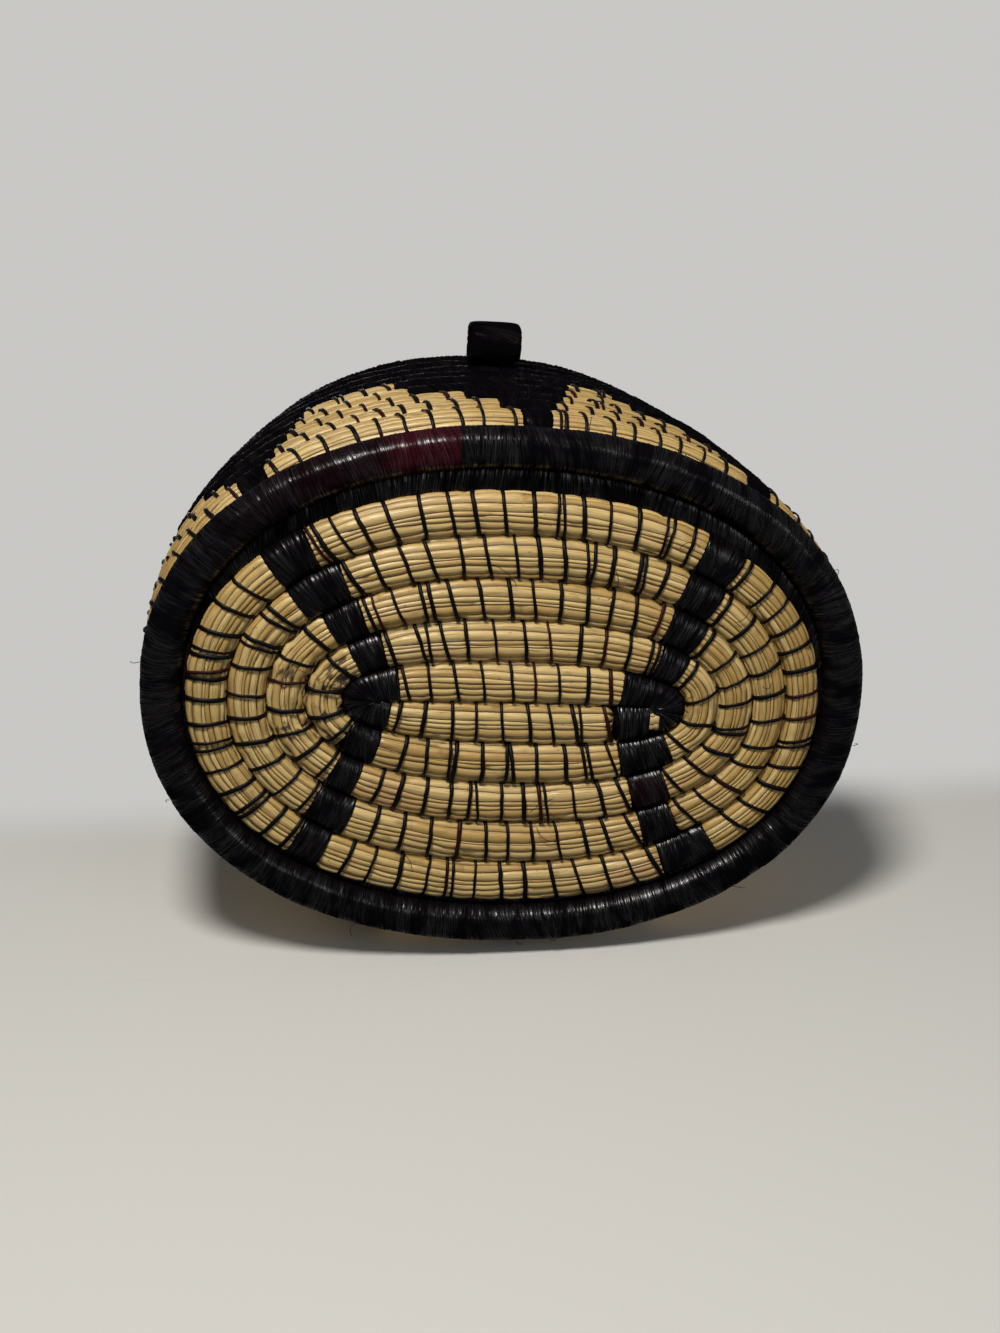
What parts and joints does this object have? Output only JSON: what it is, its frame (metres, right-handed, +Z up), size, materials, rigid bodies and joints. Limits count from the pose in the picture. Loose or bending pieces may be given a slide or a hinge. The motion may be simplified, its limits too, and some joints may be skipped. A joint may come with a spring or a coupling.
{
  "type": "lidded basket",
  "caption": "Oval coiled grass basket with a black wrapped foot ring, stepped black pattern, and a hinged lid lifted by a small pull loop",
  "frame": {"origin": "middle of the footprint on the surface that the basket stands on", "axes": "+X along the basket's length, +Y towards the hinge, +Z up; the pull loop faces -Y"},
  "size_m": [0.15, 0.1252, 0.0951],
  "materials": {
    "grass": "dry grass stems, satin",
    "black_fibre": "fine glossy fibre, wrapped"
  },
  "bodies": {
    "body": {"foot_ring": "black_fibre", "base_coil": "grass", "base_edge": "black_fibre", "wall_coil": "grass", "dark_course": "black_fibre", "body_rim": "black_fibre", "hinge_loop_left": "black_fibre", "hinge_loop_right": "black_fibre"},
    "lid": {"lid_rim": "black_fibre", "lid_shoulder": "black_fibre", "lid_coil": "grass", "lid_collar": "black_fibre", "lid_loop": "black_fibre"}
  },
  "joints": [
    {"name": "lid_hinge", "type": "hinge", "parent": "body", "child": "lid", "pos_m": [0, 0.05513, 0.0771], "axis": [-1, 0, 0], "range_deg": [0, 110]}
  ]
}
